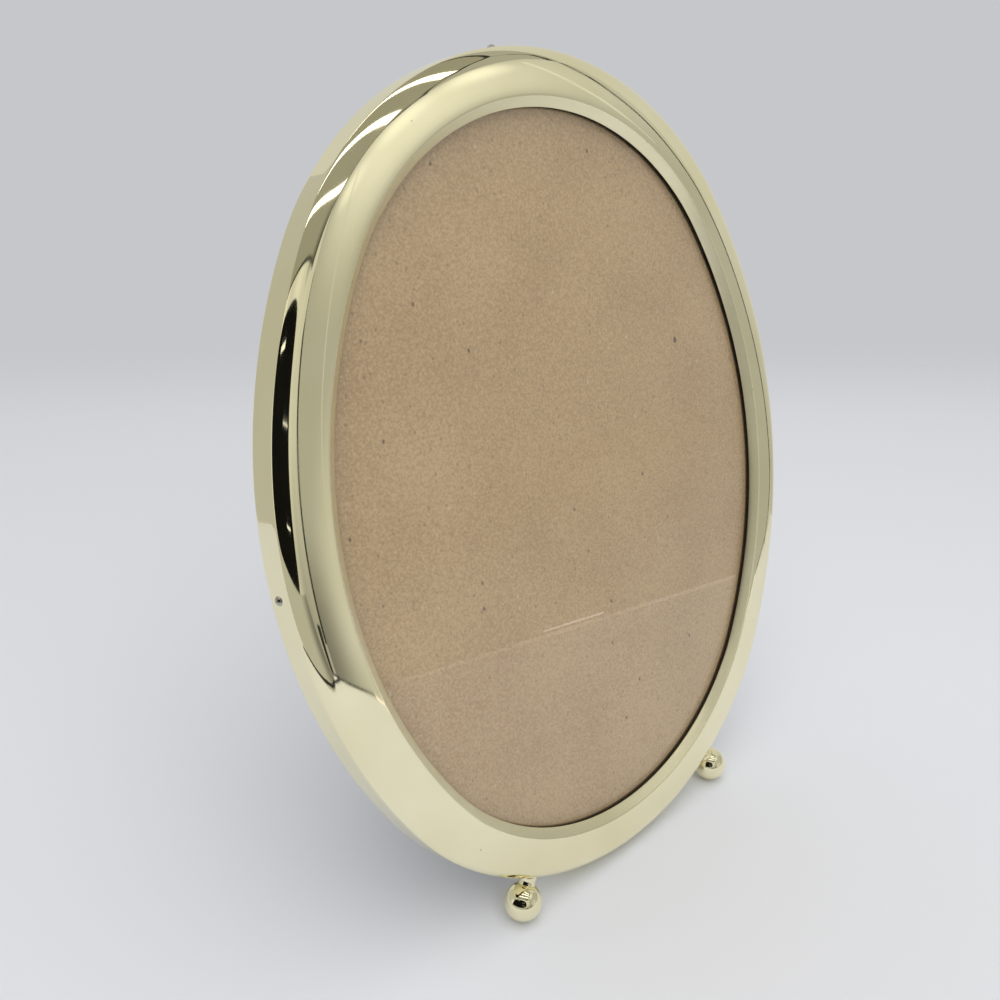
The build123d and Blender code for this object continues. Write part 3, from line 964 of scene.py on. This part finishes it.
for name, angle in (("left", 270 - foot_angle), ("right", 270 + foot_angle)):
    seat = oval_frame(angle, back_edge_offset - band_slope * foot_height + stem_length, foot_height)
    for kind, profile, place in (
        ("ball", ball_profile, standing @ seat @ Matrix.Translation((0, 0, ball_seat))),
        ("stem", stem_profile, standing @ seat),
    ):
        node = f"foot_{kind}_{name}"
        piece = new_object(f"{node}_turned", turned(node, profile, place), polished_gold)
        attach(piece, "frame")
        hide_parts(node)


# Glass
# A pane of 2 mm float glass, cut to the oval. It has the faint green of plain glass, and lets the lamps
# reach the board behind it.
glass_tint = "#FCFEFD"
glass_ior = 1.52
smear_size = 35.0
smear_edges = (0.5, 0.8)
smear_range = (0.0, 0.006)
glass_offset = 6.35
glass_edge_round = 0.4
glass_rear = glass_front - glass_thickness
resting_gap = 0.05
shade_fade = 0.7
plate_steps = 360

float_glass, tree, shader = new_material("float_glass")
shader.inputs["Base Color"].default_value = linear(glass_tint)
shader.inputs["Transmission Weight"].default_value = 1
shader.inputs["IOR"].default_value = glass_ior
smear = add(tree, "ShaderNodeMapRange", {}, {
    "Value": grain(tree, smear_size, detail=5), "From Min": smear_edges[0], "From Max": smear_edges[1],
    "To Min": smear_range[0], "To Max": smear_range[1],
})
tree.links.new(smear.outputs["Result"], shader.inputs["Roughness"])
ray = add(tree, "ShaderNodeLightPath")
lit = add(tree, "ShaderNodeMath", {"operation": "MAXIMUM"}, {
    0: ray.outputs["Is Shadow Ray"], 1: ray.outputs["Is Diffuse Ray"],
})
clear = add(tree, "ShaderNodeBsdfTransparent", {}, {"Color": linear(glass_tint)})
either = add(tree, "ShaderNodeMixShader", {}, {0: lit, 1: shader, 2: clear})
show_mixed(tree, either.outputs["Shader"])


def oval_ring(offset, height):
    """The points of an oval at an offset from the opening, in the rim's own axes."""
    ring = []
    for step in range(plate_steps):
        ring.append(oval_frame(360 * step / plate_steps, offset, height).translation)
    return ring


def oval_plate(name, offset, rear, front, edge_round, node, material):
    """A flat oval plate with eased edges, in place of a packed one, with its front border under the lip
    marked for a painted shade.
    """
    rings = [
        oval_ring(offset - edge_round, rear), oval_ring(offset, rear + edge_round),
        oval_ring(offset, front - edge_round), oval_ring(offset - edge_round, front),
        oval_ring(shade_fade, front), oval_ring(0, front),
    ]
    shape = bmesh.new()
    # Marks the front border under the lip, which gets a painted shade in the board's colour
    covered = shape.verts.layers.float.new("covered")
    loops = [[shape.verts.new(point) for point in ring] for ring in rings]
    for vertex in loops[3] + loops[4]:
        vertex[covered] = 1
    for low, high in zip(loops, loops[1:]):
        for step in range(plate_steps):
            ahead = (step + 1) % plate_steps
            shape.faces.new((low[step], low[ahead], high[ahead], high[step]))
    shape.faces.new(loops[0])
    shape.faces.new(loops[-1])
    bmesh.ops.recalc_face_normals(shape, faces=shape.faces)
    mesh = bpy.data.meshes.new(name)
    shape.to_mesh(mesh)
    shape.free()
    mesh.transform(standing)
    piece = new_object(name, mesh, material)
    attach(piece, "frame")
    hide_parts(node)


oval_plate(
    "glass_pane_cut", glass_offset, glass_rear + resting_gap, glass_front, glass_edge_round,
    "glass_pane", float_glass,
)


# Backing board
# Raw chipboard card, pressed from waste paper and wood pulp: an even warm brown with a fine pale and dark
# mottle, and here and there a fleck of bark. Its border under the lip is darkened by a painted shade, for
# the shade that the lip casts there.
chip_dark = "#AB8962"
chip_light = "#C5A47A"
chip_mottle_size = 0.8
chip_cloud_size = 40.0
cloud_weight = 0.35
chip_contrast = (0.50, 0.84)
chip_roughness = 0.85
chip_bump = 0.004 * MM
bark_brown = "#5E4733"
pale_fibre = "#CDB898"
fleck_stretch = (1, 1, 0.7)
wobble_size_share = 0.12
wobble_depth_share = 0.05
board_rear = 4.1
board_edge_round = 0.2
# The near-black painted shade on the board's border under the lip, and how strongly it covers the board's
# colour
painted_shade_brown = "#241B14"
painted_shade_share = 0.9

# Layers of flecks, as size, edges, rarity, where the pattern starts, colour and strength
fleck_layers = (
    (2.2, (0.12, 0.22), 0.70, (3, 1, 0), bark_brown, 0.40),
    (9.0, (0.04, 0.075), 0.25, (0, 0, 0), bark_brown, 0.85),
    (38.0, (0.025, 0.032), 0.2, (7, 5, 3), bark_brown, 0.95),
    (5.5, (0.06, 0.10), 0.6, (11, 2, 6), pale_fibre, 0.7),
)


def flecks(tree, size, edges, rarity, seed_place):
    """A mask of scattered flecks, longer than wide and with uneven outlines."""
    place = add(tree, "ShaderNodeTexCoord")
    moved = add(tree, "ShaderNodeMapping", {}, {
        "Vector": place.outputs["Object"], "Location": seed_place, "Scale": fleck_stretch,
    })
    wobble = add(tree, "ShaderNodeTexNoise", {}, {
        "Vector": moved, "Scale": per_metre(size * wobble_size_share), "Detail": 1,
    })
    shift = add(tree, "ShaderNodeVectorMath", {"operation": "MULTIPLY_ADD"}, {
        0: wobble.outputs["Color"], 1: (size * wobble_depth_share * MM,) * 3, 2: moved,
    })
    return scattered(tree, shift.outputs["Vector"], size, edges, rarity)


chipboard, tree, shader = new_material("raw_chipboard")
cloud = grain(tree, chip_cloud_size, detail=2)
mottle = grain(tree, chip_mottle_size, detail=4)
both = add(tree, "ShaderNodeMath", {"operation": "MULTIPLY_ADD"}, {0: cloud, 1: cloud_weight, 2: mottle})
share = add(tree, "ShaderNodeMapRange", {}, {
    "Value": both, "From Min": chip_contrast[0], "From Max": chip_contrast[1],
})
colour = add(tree, "ShaderNodeValToRGB", {"stops": [(0, chip_dark), (1, chip_light)]}, {"Fac": share})
mixed = colour.outputs["Color"]
for size, edges, rarity, seed_place, code, strength in fleck_layers:
    mixed = laid_over(tree, mixed, flecks(tree, size, edges, rarity, seed_place), strength, code)
# Painted shade: the border under the lip is darkened in the board's colour, where the lip shades it
border = add(tree, "ShaderNodeAttribute", {"attribute_name": "covered"})
mixed = laid_over(tree, mixed, border.outputs["Fac"], painted_shade_share, painted_shade_brown)
tree.links.new(mixed, shader.inputs["Base Color"])
shader.inputs["Roughness"].default_value = chip_roughness
relief(tree, shader, mottle, chip_bump)
oval_plate(
    "backing_board_cut", glass_offset, board_rear, glass_rear, board_edge_round,
    "backing_board", chipboard,
)


# Easel back and its cover
# The back is pressed hardboard, and it closes the frame. Black flocked paper covers its rear face: short
# upright fibres that swallow light and catch a little lint.
hardboard_dark = "#5F4530"
hardboard_light = "#7E6045"
hardboard_roughness = 0.75
flock_tones = ((0.55, "#121214"), (1, "#2A2A2E"))
flock_size = 0.9  # coarser than real flock, so that it shows
flock_cloud_size = 22.0
pile_weight = 0.6
flock_roughness = 1.0
flock_sheen = 0.35
flock_sheen_roughness = 0.4
flock_bump = 0.12 * MM

hardboard = board("pressed_hardboard", hardboard_dark, hardboard_light, (1, 1, 1), hardboard_roughness)
dress("easel_back", hardboard)

flocked_paper, tree, shader = new_material("black_flocked_paper")
pile = grain(tree, flock_size, detail=4)
cloud = grain(tree, flock_cloud_size)
both = add(tree, "ShaderNodeMath", {"operation": "MULTIPLY_ADD"}, {0: pile, 1: pile_weight, 2: cloud})
colour = add(tree, "ShaderNodeValToRGB", {"stops": flock_tones}, {"Fac": both})
tree.links.new(colour.outputs["Color"], shader.inputs["Base Color"])
shader.inputs["Roughness"].default_value = flock_roughness
shader.inputs["Sheen Weight"].default_value = flock_sheen
shader.inputs["Sheen Roughness"].default_value = flock_sheen_roughness
relief(tree, shader, pile, flock_bump)
dress("back_cover", flocked_paper)
dress("easel_leg", flocked_paper)


# Turn buttons, washers and their screws
# Four stamped brass-plated buttons hold the back in, each on a washer under a slotted round-head screw.
# The plating is satin, with fine stamping lines along the button.
button_tones = ((0.45, "#A98F50"), (0.95, "#D9C383"))
stamp_size = 0.5
stamp_stretch = 0.12
stamp_weight = 0.5
button_cloud_size = 6.0
button_roughness = (0.22, 0.42)
button_bump = 0.006 * MM

satin_brass, tree, shader = new_material("satin_plated_brass")
lines = grain(tree, stamp_size, stretch=(1, stamp_stretch, 1))
cloud = grain(tree, button_cloud_size)
both = add(tree, "ShaderNodeMath", {"operation": "MULTIPLY_ADD"}, {0: lines, 1: stamp_weight, 2: cloud})
colour = add(tree, "ShaderNodeValToRGB", {"stops": button_tones}, {"Fac": both})
tree.links.new(colour.outputs["Color"], shader.inputs["Base Color"])
shader.inputs["Metallic"].default_value = 1
rough = add(tree, "ShaderNodeMapRange", {}, {
    "Value": cloud, "To Min": button_roughness[0], "To Max": button_roughness[1],
})
tree.links.new(rough.outputs["Result"], shader.inputs["Roughness"])
relief(tree, shader, lines, button_bump)
for part in (1, 2, 3, 4, "washers", "screws"):
    dress(f"turn_button_{part}", satin_brass)


# Hinge of the leg, its rivets and pin
# Pressed steel plates with rolled knuckles. The zinc plating gives them a cool, slightly cloudy grey
# with a fine spangle.
zinc_tones = ((0.35, "#8C9094"), (0.85, "#BFC2C4"))
spangle_size = 2.2
spangle_weight = 0.3
zinc_cloud_size = 5.0
zinc_roughness = (0.28, 0.48)
zinc_bump = 0.008 * MM

zinc, tree, shader = new_material("zinc_plated_steel")
place = add(tree, "ShaderNodeTexCoord")
cells = add(tree, "ShaderNodeTexVoronoi", {"feature": "SMOOTH_F1"}, {
    "Vector": place.outputs["Object"], "Scale": per_metre(spangle_size),
})
spangle = add(tree, "ShaderNodeSeparateColor", {}, {"Color": cells.outputs["Color"]})
both = add(tree, "ShaderNodeMath", {"operation": "MULTIPLY_ADD"}, {
    0: spangle.outputs["Red"], 1: spangle_weight, 2: grain(tree, zinc_cloud_size),
})
colour = add(tree, "ShaderNodeValToRGB", {"stops": zinc_tones}, {"Fac": both})
tree.links.new(colour.outputs["Color"], shader.inputs["Base Color"])
shader.inputs["Metallic"].default_value = 1
rough = add(tree, "ShaderNodeMapRange", {}, {
    "Value": both, "To Min": zinc_roughness[0], "To Max": zinc_roughness[1],
})
tree.links.new(rough.outputs["Result"], shader.inputs["Roughness"])
relief(tree, shader, both.outputs["Value"], zinc_bump)
for name in (
    "hinge_base", "hinge_base_rivets", "hinge_pin", "leg_leaf", "leg_rivets",
    "foot_stud_left", "foot_stud_right",
):
    dress(name, zinc)
